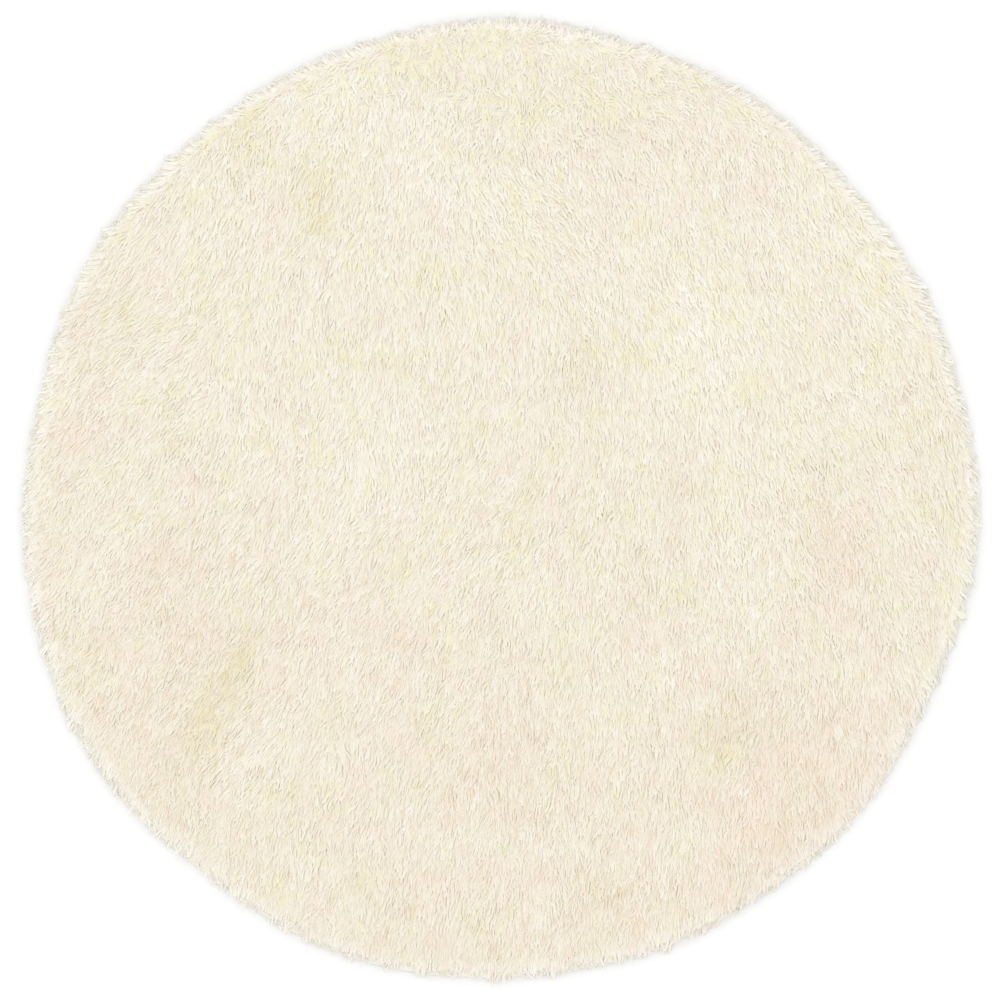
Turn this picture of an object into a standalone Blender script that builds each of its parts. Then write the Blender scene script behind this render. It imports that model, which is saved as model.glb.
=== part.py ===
"""Round shag rug: one flat, lumpy slab of pile with locks of yarn at its rim.

Units are metres, with +Z up. The origin is the middle of the flat underside, which lies on
the floor. The pile is brushed towards -Y, fanning out to the sides, and the rim locks follow it.
"""

import math
import random
from typing import NamedTuple

import bmesh
import bpy
from mathutils import Matrix, Vector, noise
from mathutils.geometry import delaunay_2d_cdt

# Driving dimensions
DIAMETER = 1.200  # from lock tip to lock tip
PILE_HEIGHT = 0.026  # middle height of the lumpy top
RIM_HEIGHT = 0.019  # where the rounded shoulder ends and the rim locks begin
SHOULDER_WIDTH = 0.032  # over which the top rounds down to the rim

# Lumps of the top: soft heaps of locks, longer along the nap than across it
LUMP_RISE = 0.0062
LUMP_LENGTH = 0.100
LUMP_WIDTH = 0.052
RIPPLE_RISE = 0.0030
RIPPLE_SHARE = 0.45  # a ripple's size, as a share of a lump's

# Rim locks: one for each column, by turns in the lower tier and in the upper one
COLUMNS = 300
LONG_REACH = 0.030  # outwards, where the nap runs off the rug
SHORT_REACH = 0.015  # outwards, where the nap runs back over the rug
SHORTEST_SHARE = 0.60  # of the reach, in the shortest lock
LOCK_YAW = math.radians(12)  # most turn of one lock away from its neighbours
NAP_PULL = 0.80  # how much the nap turns a rim lock, against 1 for straight outwards
KNEE_SHARE = 0.52  # of a lock's length, where it bends down
WIDEST_KNEE = 0.96  # share of its root's width, at the knee of the fullest lock
SLIMMEST_KNEE = 0.76  # and of the thinnest
LEAST_OUTWARD = 0.5  # share of a lock's length that always points outwards
FOOT_INSET = 0.003  # how far the underside's edge is tucked in
BULGE = 0.002  # how far the rim's middle stands out past its two edges

TOP_POINTS = 2000  # spread evenly under the lumps
EDGE_CLEARANCE = 0.013  # from the outermost of them to the rim
SAME_POINT = 1e-6  # distance within which two points of the top are one

FAN_ANGLE = math.radians(32)  # the nap's turn outwards, at the left and right edge
FAN_FADE = 0.75  # share of that turn which is lost towards the bottom edge
DRIFT_ANGLE = math.radians(-8)  # the nap's lean to the left, all over the rug


class Wave(NamedTuple):
    """One slow wave of the outline: its lobes, its height, and where its first crest lies."""

    lobes: int
    rise: float
    first: float


class Tier(NamedTuple):
    """Heights over the floor of one tier of rim locks, at the root, the knee and the tip."""

    root_low: float
    root_high: float
    knee_low: float
    knee_high: float
    tip: float


class Parting(NamedTuple):
    """A place where the pile opens and shows its depth; the heading is from -Y towards +X."""

    x: float
    y: float
    half_length: float
    half_width: float
    heading: float
    depth: float


OUTLINE_WAVES = tuple(Wave(*row) for row in (
    # lobes, rise, first crest
    (2, 0.0020, math.radians(120)),
    (3, 0.0022, math.radians(-20)),
    (5, 0.0013, math.radians(5)),
    (7, 0.0016, math.radians(60)),
))

LOWER_TIER = Tier(root_low=0.0, root_high=0.0095, knee_low=0.0, knee_high=0.0062, tip=0.0012)
UPPER_TIER = Tier(root_low=0.0095, root_high=RIM_HEIGHT, knee_low=0.0100, knee_high=0.0172, tip=0.0105)

PARTINGS = tuple(Parting(*row) for row in (
    # x, y, half length, half width, heading in degrees, depth
    (-0.320, -0.225, 0.060, 0.026, -35, 0.0070),
    (-0.377, -0.307, 0.050, 0.024, -35, 0.0055),
    (0.281, -0.269, 0.045, 0.034, 10, 0.0060),
    (0.111, 0.188, 0.066, 0.022, 5, 0.0060),
    (0.074, 0.140, 0.040, 0.024, 20, 0.0050),
    (0.030, 0.025, 0.056, 0.024, -25, 0.0055),
    (-0.208, 0.357, 0.050, 0.030, -15, 0.0055),
    (-0.321, 0.438, 0.052, 0.028, -30, 0.0050),
    (-0.101, 0.545, 0.055, 0.026, -12, 0.0055),
    (0.000, 0.480, 0.052, 0.026, 10, 0.0050),
    (0.249, 0.438, 0.060, 0.034, 40, 0.0050),
    (0.540, 0.075, 0.048, 0.026, 22, 0.0055),
    (0.418, 0.056, 0.050, 0.026, 18, 0.0050),
    (-0.227, -0.338, 0.048, 0.026, -20, 0.0050),
    (-0.095, -0.250, 0.070, 0.024, -12, 0.0055),
    (0.000, -0.363, 0.052, 0.024, -8, 0.0050),
    (0.137, -0.500, 0.048, 0.026, -8, 0.0055),
    (-0.520, -0.195, 0.044, 0.026, -30, 0.0050),
    (-0.158, -0.088, 0.048, 0.026, -30, 0.0045),
    (0.218, -0.013, 0.046, 0.026, 8, 0.0045),
    (-0.365, 0.269, 0.046, 0.024, -25, 0.0050),
    (-0.500, 0.170, 0.046, 0.026, -38, 0.0045),
))

SEED = 41
SHARP_ANGLE = math.radians(50)  # between two faces that don't shade as one
SHAG_COLOUR = (0.870, 0.790, 0.640, 1.0)
SHAG_ROUGHNESS = 0.95


def along_heading(heading):
    """The unit vector on the floor at this heading, from -Y towards +X."""
    return Vector((math.sin(heading), -math.cos(heading)))


def nap_direction(x, y):
    """The way that the pile lies at a place on the rug."""
    radius = DIAMETER / 2
    down = min(max(0.5 - y / DIAMETER, 0.0), 1.0)
    fan = FAN_ANGLE * (x / radius) * (1 - FAN_FADE * down * down)
    return along_heading(DRIFT_ANGLE + fan)


def outline_radius(angle):
    """Distance from the middle to the lock tips, at an angle from +X."""
    waves = sum(wave.rise * math.cos(wave.lobes * (angle - wave.first)) for wave in OUTLINE_WAVES)
    return DIAMETER / 2 + waves


def rim_reach(angle):
    """How far the longest locks stand out of the rim at this angle."""
    outward = Vector((math.cos(angle), math.sin(angle)))
    nap = nap_direction(*(outward * DIAMETER / 2))
    share = (1 + outward.dot(nap)) / 2
    return SHORT_REACH + (LONG_REACH - SHORT_REACH) * share


def body_radius(angle):
    """Distance from the middle to the roots of the rim locks."""
    return outline_radius(angle) - rim_reach(angle)


def parting_depth(x, y):
    """How far the pile sinks at a place, because it parts there."""
    sunk = 0.0
    for parting in PARTINGS:
        ahead = along_heading(math.radians(parting.heading))
        offset = Vector((x - parting.x, y - parting.y))
        along = offset.dot(ahead) / parting.half_length
        across = offset.cross(ahead) / parting.half_width
        sunk += parting.depth * math.exp(-(along * along + across * across))
    return sunk


def pile_top(x, y):
    """Height of the pile's lumpy top over the floor."""
    lump = noise.noise(Vector((x / LUMP_WIDTH, y / LUMP_LENGTH, 0.0)))
    ripple = noise.noise(Vector((x / LUMP_WIDTH, y / LUMP_LENGTH, 0.0)) / RIPPLE_SHARE)
    top = PILE_HEIGHT + LUMP_RISE * lump + RIPPLE_RISE * ripple - parting_depth(x, y)
    inside = (body_radius(math.atan2(y, x)) - math.hypot(x, y)) / SHOULDER_WIDTH
    if inside >= 1:
        return top
    rounding = math.sqrt(1 - (1 - max(inside, 0.0)) ** 2)
    return RIM_HEIGHT + (top - RIM_HEIGHT) * rounding


def column_angle(column):
    """Angle of one edge of a rim column."""
    return math.tau * column / COLUMNS


def ring_point(column, radius_change, height):
    """A point of the rim wall, at one edge of a column."""
    angle = column_angle(column)
    radius = body_radius(angle) + radius_change
    return Vector((radius * math.cos(angle), radius * math.sin(angle), height))


def spread_points():
    """Points spread evenly inside the rim, along a spiral that turns by the golden angle."""
    golden_angle = math.pi * (3 - math.sqrt(5))
    points = []
    for index in range(TOP_POINTS):
        angle = (index * golden_angle) % math.tau
        radius = math.sqrt((index + 0.5) / TOP_POINTS) * (body_radius(angle) - EDGE_CLEARANCE)
        points.append(Vector((radius * math.cos(angle), radius * math.sin(angle))))
    return points


def add_top(bm):
    """Lay the lumpy top as triangles inside the rim."""
    rim = [ring_point(column, 0.0, 0.0).to_2d() for column in range(COLUMNS)]
    whole_rim = [list(range(COLUMNS))]
    inside_only = 1
    points, _, triangles, *_ = delaunay_2d_cdt(
        rim + spread_points(), [], whole_rim, inside_only, SAME_POINT
    )
    verts = [bm.verts.new((point.x, point.y, pile_top(point.x, point.y))) for point in points]
    for triangle in triangles:
        bm.faces.new([verts[index] for index in triangle])


def round_the_rim(verts):
    """The verts in the order of their columns."""
    return sorted(verts, key=lambda vert: round(
        math.atan2(vert.co.y, vert.co.x) / math.tau * COLUMNS
    ) % COLUMNS)


def extrude_down(bm, edges, radius_change, height):
    """Carry an edge loop down to a new ring of the wall, and return the ring's verts and edges."""
    made = bmesh.ops.extrude_edge_only(bm, edges=edges)["geom"]
    ring = round_the_rim([item for item in made if isinstance(item, bmesh.types.BMVert)])
    for column, vert in enumerate(ring):
        vert.co = ring_point(column, radius_change, height)
    lower_edges = [
        item for item in made
        if isinstance(item, bmesh.types.BMEdge) and all(vert in ring for vert in item.verts)
    ]
    return ring, lower_edges


def add_wall(bm):
    """Close the rim down to the floor in two bands, and return the three rings between them."""
    edges = [edge for edge in bm.edges if edge.is_boundary]
    shoulder = round_the_rim({vert for edge in edges for vert in edge.verts})
    middle, edges = extrude_down(bm, edges, BULGE, LOWER_TIER.root_high)
    foot, edges = extrude_down(bm, edges, -FOOT_INSET, 0.0)
    bmesh.ops.edgeloop_fill(bm, edges=edges)
    return shoulder, middle, foot


def lock_direction(angle, turn):
    """The way that a rim lock lies: outwards, pulled round by the nap but never back inwards."""
    outward = Vector((math.cos(angle), math.sin(angle)))
    nap = nap_direction(*(outward * DIAMETER / 2))
    along_rim = nap - outward * outward.dot(nap)
    heading = outward + along_rim * NAP_PULL
    heading.normalize()
    return Matrix.Rotation(turn, 2) @ heading


def grow_lock(bm, face, angle, tier, dice):
    """Draw one face of the wall out to a lock, with a knee and a pointed tip."""
    heading = lock_direction(angle, dice.uniform(-LOCK_YAW, LOCK_YAW))
    outward = Vector((math.cos(angle), math.sin(angle)))
    share = dice.uniform(SHORTEST_SHARE, 1.0)
    length = rim_reach(angle) * share / max(heading.dot(outward), LEAST_OUTWARD)
    knee_width = dice.uniform(SLIMMEST_KNEE, WIDEST_KNEE)
    root = face.calc_center_median().to_2d()

    knee = bmesh.ops.extrude_discrete_faces(bm, faces=[face])["faces"][0]
    for vert in knee.verts:
        place = root + (vert.co.to_2d() - root) * knee_width + heading * length * KNEE_SHARE
        is_high = vert.co.z > (tier.root_low + tier.root_high) / 2
        vert.co = (place.x, place.y, tier.knee_high if is_high else tier.knee_low)

    tip = bmesh.ops.extrude_discrete_faces(bm, faces=[knee])["faces"][0]
    end = root + heading * length
    bmesh.ops.pointmerge(bm, verts=list(tip.verts), merge_co=(end.x, end.y, tier.tip))


def add_rim_locks(bm, rings):
    """Grow a lock from every column, by turns in the lower tier and in the upper one."""
    shoulder, middle, foot = rings
    dice = random.Random(SEED)
    for column in range(COLUMNS):
        after = (column + 1) % COLUMNS
        if column % 2:
            tier, above, below = UPPER_TIER, shoulder, middle
        else:
            tier, above, below = LOWER_TIER, middle, foot
        face = bm.faces.get((above[column], above[after], below[after], below[column]))
        grow_lock(bm, face, column_angle(column + 0.5), tier, dice)


def shag_material():
    """Matt cream yarn."""
    material = bpy.data.materials.new("cream_shag")
    material.use_nodes = True
    shader = material.node_tree.nodes["Principled BSDF"]
    shader.inputs["Base Color"].default_value = SHAG_COLOUR
    shader.inputs["Roughness"].default_value = SHAG_ROUGHNESS
    material.diffuse_color = SHAG_COLOUR
    return material


def build_shag_round():
    """The whole rug, as one solid."""
    bm = bmesh.new()
    add_top(bm)
    add_rim_locks(bm, add_wall(bm))
    bmesh.ops.recalc_face_normals(bm, faces=bm.faces)
    mesh = bpy.data.meshes.new("shag_round")
    bm.to_mesh(mesh)
    bm.free()
    mesh.shade_smooth()
    mesh.set_sharp_from_angle(angle=SHARP_ANGLE)
    mesh.materials.append(shag_material())
    rug = bpy.data.objects.new("shag_round", mesh)
    bpy.context.scene.collection.objects.link(rug)


def main():
    """Clear the scene and build the rug."""
    for old in list(bpy.data.objects):
        bpy.data.objects.remove(old)
    build_shag_round()


main()
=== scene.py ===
"""The looks of a round cream shag rug: fine locks of yarn on a thin ground cloth.

Units are metres with +Z up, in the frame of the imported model. The rug lies on the floor with
its middle at the origin, and its pile is brushed towards -Y. Places seen from above stand one
in each row, with X to the right and Y to the far edge. Angles round the rug start at +X, and
the nap's angles run from -Y towards +X.
"""

import logging
import math
from dataclasses import dataclass, field
from enum import Enum
from typing import NamedTuple

import bmesh
import bpy
import numpy as np
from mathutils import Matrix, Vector, kdtree, noise
from mathutils.bvhtree import BVHTree


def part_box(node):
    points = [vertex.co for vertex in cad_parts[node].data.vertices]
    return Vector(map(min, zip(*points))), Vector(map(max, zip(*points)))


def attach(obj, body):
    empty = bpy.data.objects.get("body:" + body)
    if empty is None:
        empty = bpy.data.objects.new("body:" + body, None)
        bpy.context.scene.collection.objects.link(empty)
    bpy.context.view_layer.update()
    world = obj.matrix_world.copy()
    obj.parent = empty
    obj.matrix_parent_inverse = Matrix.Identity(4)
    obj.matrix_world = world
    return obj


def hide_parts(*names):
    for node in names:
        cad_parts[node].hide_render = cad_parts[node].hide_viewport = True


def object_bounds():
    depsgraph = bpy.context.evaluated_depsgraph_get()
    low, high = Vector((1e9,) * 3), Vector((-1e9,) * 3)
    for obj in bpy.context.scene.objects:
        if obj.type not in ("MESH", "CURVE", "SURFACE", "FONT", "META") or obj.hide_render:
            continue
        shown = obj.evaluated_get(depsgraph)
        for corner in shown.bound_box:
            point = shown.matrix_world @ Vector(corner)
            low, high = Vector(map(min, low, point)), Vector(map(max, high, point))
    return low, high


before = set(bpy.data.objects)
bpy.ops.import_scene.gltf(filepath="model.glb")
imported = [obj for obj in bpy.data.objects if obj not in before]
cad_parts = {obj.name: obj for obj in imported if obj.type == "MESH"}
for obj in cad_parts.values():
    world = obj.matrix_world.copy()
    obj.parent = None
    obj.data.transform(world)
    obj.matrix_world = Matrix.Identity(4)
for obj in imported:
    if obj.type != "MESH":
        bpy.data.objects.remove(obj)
CAD_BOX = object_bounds()

LOG = logging.getLogger("shag_rug")
NODE = "shag_round"
BODY = "root"
TONE_MAP = "OFBake"
TINY = 1e-6

Colour = tuple[float, float, float, float]
Stops = tuple[tuple[float, Colour], ...]


class Side(Enum):
    """A quarter of the rug, by the way that it lies from the middle along X and Y."""

    FAR_LEFT = (-1, 1)
    FAR_RIGHT = (1, 1)
    NEAR_LEFT = (-1, -1)
    NEAR_RIGHT = (1, -1)

    def holds(self, flat: np.ndarray) -> np.ndarray:
        """Says which places lie in this quarter."""
        return (np.where(flat >= 0, 1, -1) == self.value).all(axis=1)


class Wave(NamedTuple):
    """One slow wave of the outline: its lobes, its height, and its first crest in degrees."""

    lobes: int
    rise: float
    first: float


class Swirl(NamedTuple):
    """A place where the brushed pile turns: its middle, its reach, and the turn in degrees."""

    x: float
    y: float
    reach: float
    turn: float


class Patch(NamedTuple):
    """A soft patch of tone: its place, half sizes, heading in degrees, lightness and hue. Its lightness
    is painted light above 0 and painted shade below.
    """

    x: float
    y: float
    half_length: float
    half_width: float
    heading: float
    lightness: float
    hue: float


WAVES = tuple(Wave(*row) for row in (
    # lobes, rise, first crest
    (2, 0.0020, 65),
    (3, 0.0024, -22),
    (4, 0.0014, 4),
    (5, 0.0014, -6),
    (6, 0.0012, 20),
    (7, 0.0019, -3),
    (10, 0.0007, -3),
    (11, 0.0013, -9),
    (12, 0.0008, -2),
))

# The turns of the nap that show in the photo
SWIRLS = tuple(Swirl(*row) for row in (
    # x, y, reach, turn
    (0.030, 0.325, 0.085, 34),
    (0.005, -0.040, 0.105, -17),
    (-0.190, -0.105, 0.105, -12),
    (0.175, 0.520, 0.095, 30),
    (-0.340, -0.280, 0.080, -16),
    (-0.440, 0.205, 0.080, -16),
    (-0.135, 0.480, 0.060, 26),
    (0.340, -0.270, 0.065, -12),
    (0.205, 0.070, 0.070, -10),
    (-0.275, 0.145, 0.085, 20),
    (-0.125, 0.265, 0.095, 14),
    (0.485, 0.280, 0.065, 16),
    (-0.010, -0.345, 0.050, 10),
    (-0.210, 0.560, 0.055, -24),
    (0.060, 0.570, 0.045, 22),
    (0.207, 0.213, 0.160, 15),
    (0.069, 0.400, 0.060, 14),
    (-0.338, 0.400, 0.080, 16),
    (-0.138, 0.056, 0.050, 22),
    (-0.069, 0.482, 0.050, -20),
    (-0.069, -0.300, 0.080, -14),
    (-0.069, -0.110, 0.070, -7),
    (0.413, 0.075, 0.070, 14),
    (0.276, 0.488, 0.060, 18),
    (0.276, -0.344, 0.050, -12),
    (0.207, -0.207, 0.050, 11),
))

# Soft patches of painted light and shade: painted shade, often yellower, where the pile parts and shows
# its depth, painted light where it catches more light, and patches that are a little pinker or yellower
PATCHES = tuple(Patch(*row) for row in (
    # x, y, half length, half width, heading, lightness, hue
    (-0.160, 0.040, 0.110, 0.070, -10, 0.14, -0.05),
    (0.275, 0.190, 0.120, 0.080, 10, 0.14, -0.14),
    (0.240, 0.190, 0.045, 0.040, 15, 0.09, -0.03),
    (0.300, -0.075, 0.090, 0.040, 5, 0.11, -0.05),
    (-0.060, 0.400, 0.140, 0.045, 50, 0.09, -0.03),
    (-0.210, 0.515, 0.050, 0.050, 0, 0.09, -0.07),
    (0.450, 0.315, 0.130, 0.060, 25, 0.09, -0.11),
    (-0.400, -0.250, 0.130, 0.085, -35, -0.11, 0.19),
    (-0.330, -0.200, 0.040, 0.018, -30, -0.25, -0.27),
    (-0.365, -0.285, 0.075, 0.026, -32, -0.15, -0.46),
    (-0.510, -0.200, 0.040, 0.030, -25, -0.11, -0.07),
    (0.300, -0.295, 0.080, 0.050, 15, -0.11, -0.07),
    (0.280, -0.310, 0.035, 0.022, 60, -0.09, -0.41),
    (0.385, -0.360, 0.130, 0.100, 10, -0.06, 0.30),
    (0.320, -0.440, 0.070, 0.060, 10, -0.03, 0.22),
    (0.440, -0.070, 0.090, 0.045, 8, -0.12, 0.27),
    (0.530, -0.010, 0.090, 0.035, 5, -0.03, -0.14),
    (0.150, 0.450, 0.050, 0.060, 10, -0.10, 0.16),
    (0.250, 0.440, 0.050, 0.120, 30, -0.02, 0.27),
    (0.320, 0.385, 0.060, 0.050, 30, -0.03, 0.22),
    (-0.225, 0.372, 0.050, 0.030, -10, -0.14, -0.36),
    (-0.320, 0.455, 0.050, 0.035, -30, -0.08, -0.27),
    (-0.090, 0.560, 0.030, 0.070, 0, -0.09, -0.22),
    (0.030, 0.510, 0.045, 0.030, 10, -0.08, -0.22),
    (-0.020, -0.170, 0.040, 0.030, -20, -0.12, 0.00),
    (0.040, 0.005, 0.060, 0.020, -22, -0.11, -0.09),
    (0.100, 0.165, 0.065, 0.018, 8, -0.14, 0.09),
    (-0.130, 0.157, 0.028, 0.015, -10, -0.11, -0.11),
    (-0.194, 0.169, 0.028, 0.015, -20, -0.09, -0.11),
    (-0.125, -0.088, 0.045, 0.020, -35, -0.10, -0.05),
    (0.213, 0.013, 0.040, 0.020, 12, -0.09, 0.00),
    (0.169, -0.081, 0.036, 0.018, 8, -0.09, -0.03),
    (-0.420, -0.090, 0.080, 0.045, -25, -0.07, 0.30),
    (-0.525, 0.080, 0.140, 0.040, -15, -0.07, 0.22),
    (-0.150, -0.170, 0.060, 0.070, -20, 0.00, 0.19),
    (-0.300, 0.340, 0.040, 0.040, 0, 0.00, 0.16),
    (-0.490, 0.260, 0.060, 0.040, -30, -0.03, 0.14),
    (-0.035, -0.360, 0.080, 0.050, -5, -0.06, 0.16),
    (0.090, -0.385, 0.040, 0.025, -10, -0.10, 0.03),
    (0.140, -0.510, 0.045, 0.030, -8, -0.12, 0.07),
    (0.000, -0.575, 0.024, 0.014, -5, -0.11, -0.07),
    (-0.250, -0.470, 0.090, 0.080, 0, 0.00, -0.14),
))


def unit(vectors: np.ndarray) -> np.ndarray:
    """Scales each row to a length of 1."""
    return vectors / np.maximum(np.linalg.norm(vectors, axis=-1, keepdims=True), TINY)


def ease(value: np.ndarray, start: float, end: float) -> np.ndarray:
    """Eases from 0 to 1 as a value goes from start to end."""
    held = np.clip((value - start) / (end - start), 0.0, 1.0)
    return held * held * (3 - 2 * held)


def polar(flat: np.ndarray) -> tuple[np.ndarray, np.ndarray]:
    """The angle of each place round the rug, and its distance from the middle."""
    return np.arctan2(flat[:, 1], flat[:, 0]), np.hypot(flat[:, 0], flat[:, 1])


def outward(angle: np.ndarray) -> np.ndarray:
    """The level directions away from the middle, at angles round the rug."""
    return np.stack([np.cos(angle), np.sin(angle)], axis=1)


class Ripple(NamedTuple):
    """A soft noise over the rug: its height, the size of its bumps, and its own layer."""

    height: float
    size: float
    layer: int

    def over(self, flat: np.ndarray) -> np.ndarray:
        """The noise at places seen from above."""
        places = flat / self.size
        return self.height * np.array([noise.noise(Vector((x, y, self.layer))) for x, y in places])


class Spread(NamedTuple):
    """How much the locks differ where the pile is brushed, and what a tangle adds to it."""

    brushed: float
    tangled: float

    def at(self, tangle: np.ndarray) -> np.ndarray:
        """The spread at each place, by how tangled the pile is there."""
        return self.brushed + self.tangled * tangle


@dataclass(frozen=True)
class NapField:
    """The way that the brushed pile lies.

    Attributes:
        radius: the rug's radius.
        drift: the lean to the left all over the rug.
        fan: the turn outwards at the left and right edge.
        fan_fade: share of that turn which is lost towards the near edge.
        tangle_span: where the pile gets tangled towards the far edge, as shares of the radius.
        swirls: the places where the nap turns.
    """

    radius: float
    drift: float = math.radians(-8)
    fan: float = math.radians(32)
    fan_fade: float = 0.75
    tangle_span: tuple[float, float] = (0.625, 0.875)
    swirls: tuple[Swirl, ...] = SWIRLS

    def heading(self, flat: np.ndarray) -> np.ndarray:
        """Works out the nap's angle.

        Args:
            flat: places seen from above.

        Returns:
            The angle at each place.
        """
        x, y = flat[:, 0], flat[:, 1]
        down = np.clip(0.5 - y / (2 * self.radius), 0.0, 1.0)
        angle = self.drift + self.fan * (x / self.radius) * (1 - self.fan_fade * down * down)
        for swirl in self.swirls:
            far = ((x - swirl.x) ** 2 + (y - swirl.y) ** 2) / swirl.reach ** 2
            angle = angle + math.radians(swirl.turn) * np.exp(-far)
        return angle

    def flow(self, flat: np.ndarray, turn: np.ndarray | float = 0.0) -> np.ndarray:
        """The level directions in which the pile lies, with a turn added to its angle."""
        heading = self.heading(flat) + turn
        return np.stack([np.sin(heading), -np.cos(heading)], axis=1)

    def tangle(self, flat: np.ndarray) -> np.ndarray:
        """How tangled the pile is: 0 where it is brushed and 1 where it is not."""
        return ease(flat[:, 1] / self.radius, *self.tangle_span)


@dataclass(frozen=True)
class Outline:
    """The rug's edge from above: a circle with a few slow waves, and the reach of its rim locks.

    Attributes:
        nap: the way that the pile lies.
        long_reach: the rim locks' reach where the nap runs off the rug.
        short_reach: their reach where the nap runs back over the rug.
        waves: the slow waves.
    """

    nap: NapField
    long_reach: float = 0.030
    short_reach: float = 0.015
    waves: tuple[Wave, ...] = WAVES

    def tips(self, angle: np.ndarray) -> np.ndarray:
        """Works out how far the tips of the rim locks lie from the middle.

        Args:
            angle: angles round the rug.

        Returns:
            The distance at each angle.
        """
        return self.nap.radius + sum(
            wave.rise * np.cos(wave.lobes * (angle - math.radians(wave.first))) for wave in self.waves
        )

    def run_off(self, angle: np.ndarray) -> np.ndarray:
        """How much the nap runs off the rug at its edge: 1 straight off, 0 straight back."""
        way = outward(angle)
        return (1 + (self.nap.flow(self.nap.radius * way) * way).sum(axis=1)) / 2

    def roots(self, angle: np.ndarray) -> np.ndarray:
        """Distance from the middle to the outermost roots."""
        reach = self.short_reach + (self.long_reach - self.short_reach) * self.run_off(angle)
        return self.tips(angle) - reach


@dataclass
class PileSurface:
    """The outer form of the pile, read from the CAD solid and rounded down to the floor.

    Attributes:
        outline: the rug's edge.
        solid: the CAD node's object.
        shoulder: width of the rounding inside the outermost roots.
        step: between two readings of the solid.
        foot: the height where the rim's rounding ends.
        sink: how far the bed of the pile lies under the outer form on the crown.
        rim_sink: how far it does where the rim meets the floor.
        rim_span: the shares of the rounding between which it comes to that.
        steps: in the table of the rounding's length.
        half: readings from the middle to the end of the table of heights.
        heights: that table.
        level: the crown's usual height.
        turn_table: turns of the rounding, from level to upright.
        length_table: the share of the rounding's length that lies above each of those.
        arc: the rounding's length over its width.
    """

    outline: Outline
    solid: bpy.types.Object
    shoulder: float = 0.032
    step: float = 0.008
    foot: float = 0.002
    sink: float = 0.0012
    rim_sink: float = 0.0026
    rim_span: tuple[float, float] = (0.7, 1.0)
    steps: int = 64
    half: int = field(init=False)
    heights: np.ndarray = field(init=False)
    level: float = field(init=False)
    turn_table: np.ndarray = field(init=False)
    length_table: np.ndarray = field(init=False)
    arc: float = field(init=False)

    def __post_init__(self) -> None:
        """Reads the solid and measures the rounding."""
        self.half = math.ceil(self.outline.nap.radius / self.step) + 2
        self.heights = self.read_heights()
        self.level = float(np.median(self.heights))
        around = np.linspace(0, math.tau, self.steps, endpoint=False)
        width = float(self.rim_width(around).mean())
        drop = self.level - self.foot
        self.turn_table = np.linspace(0, math.pi / 2, self.steps)
        pace = np.hypot(width * np.cos(self.turn_table), drop * np.sin(self.turn_table))
        total = np.concatenate([[0.0], np.cumsum((pace[1:] + pace[:-1]) / 2)])
        self.length_table = total / total[-1]
        self.arc = total[-1] * self.turn_table[1] / width

    def rim_width(self, angle: np.ndarray) -> np.ndarray:
        """Width of the rounded rim, seen from above."""
        return self.outline.tips(angle) - self.outline.roots(angle) + self.shoulder

    def crown_end(self, angle: np.ndarray) -> np.ndarray:
        """Distance from the middle to where the rim starts to round down."""
        return self.outline.tips(angle) - self.rim_width(angle)

    def whole_travel(self, angle: np.ndarray) -> np.ndarray:
        """The way from the middle over the crown and down the rim to the floor."""
        return self.crown_end(angle) + self.arc * self.rim_width(angle)

    def bed_depth(self, share: np.ndarray) -> np.ndarray:
        """How far the bed of the pile lies under the outer form, by the share of the rounding."""
        return self.sink + (self.rim_sink - self.sink) * ease(share, *self.rim_span)

    def read_heights(self) -> np.ndarray:
        """Reads the crown's height over the floor from the solid.

        Returns:
            A square table of heights. Places on the rim hold the crown's height beside them.
        """
        mesh = self.solid.data
        tree = BVHTree.FromPolygons(
            [vert.co for vert in mesh.vertices], [face.vertices for face in mesh.polygons]
        )
        places = np.arange(-self.half, self.half + 1) * self.step
        grid = np.stack(np.meshgrid(places, places, indexing="ij"), axis=-1).reshape(-1, 2)
        angle, far = polar(grid)
        far = np.minimum(far, self.crown_end(angle) - self.step / 2)
        above, down = CAD_BOX[1].z + self.step, Vector((0, 0, -1))
        found = [
            tree.ray_cast(Vector((x, y, above)), down)[0].z for x, y in outward(angle) * far[:, None]
        ]
        return np.array(found).reshape(len(places), -1)

    def crown(self, flat: np.ndarray) -> np.ndarray:
        """Finds the height of the crown over the floor, between its readings in proportion.

        Args:
            flat: places seen from above.

        Returns:
            The height at each place.
        """
        cell = flat / self.step + self.half
        corner = np.clip(cell.astype(int), 0, 2 * self.half - 1)
        (i, j), (u, v) = corner.T, (cell - corner).T
        table = self.heights
        near = table[i, j] * (1 - u) + table[i + 1, j] * u
        far = table[i, j + 1] * (1 - u) + table[i + 1, j + 1] * u
        return near * (1 - v) + far * v

    def place(self, rolled: np.ndarray) -> tuple[np.ndarray, np.ndarray, np.ndarray]:
        """Lays places over the pile's outer form.

        Args:
            rolled: places as if the pile were rolled out flat. Their distance from the middle is
                the way over the crown and down the rim.

        Returns:
            The places, the directions that face out of the pile there, and the share of the
            rim's rounding that lies above each place: 0 on the crown and 1 at the floor.
        """
        angle, travel = polar(rolled)
        crown_end, width, way = self.crown_end(angle), self.rim_width(angle), outward(angle)
        share = np.clip((travel - crown_end) / (self.arc * width), 0.0, 1.0)
        turn = np.interp(share, self.length_table, self.turn_table)
        flat = way * np.where(share > 0, crown_end + width * np.sin(turn), travel)[:, None]
        drop = self.crown(flat) - self.foot
        slope_x, slope_y = (
            (self.crown(flat + shift) - self.crown(flat - shift)) / (2 * self.step)
            for shift in np.eye(2) * self.step
        )
        on_crown = np.column_stack([-slope_x, -slope_y, np.ones(len(flat))])
        on_rim = np.column_stack([way * (drop * np.sin(turn))[:, None], width * np.cos(turn)])
        normal = unit(np.where(share[:, None] > 0, on_rim, on_crown))
        return np.column_stack([flat, self.foot + drop * np.cos(turn)]), normal, share

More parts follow.
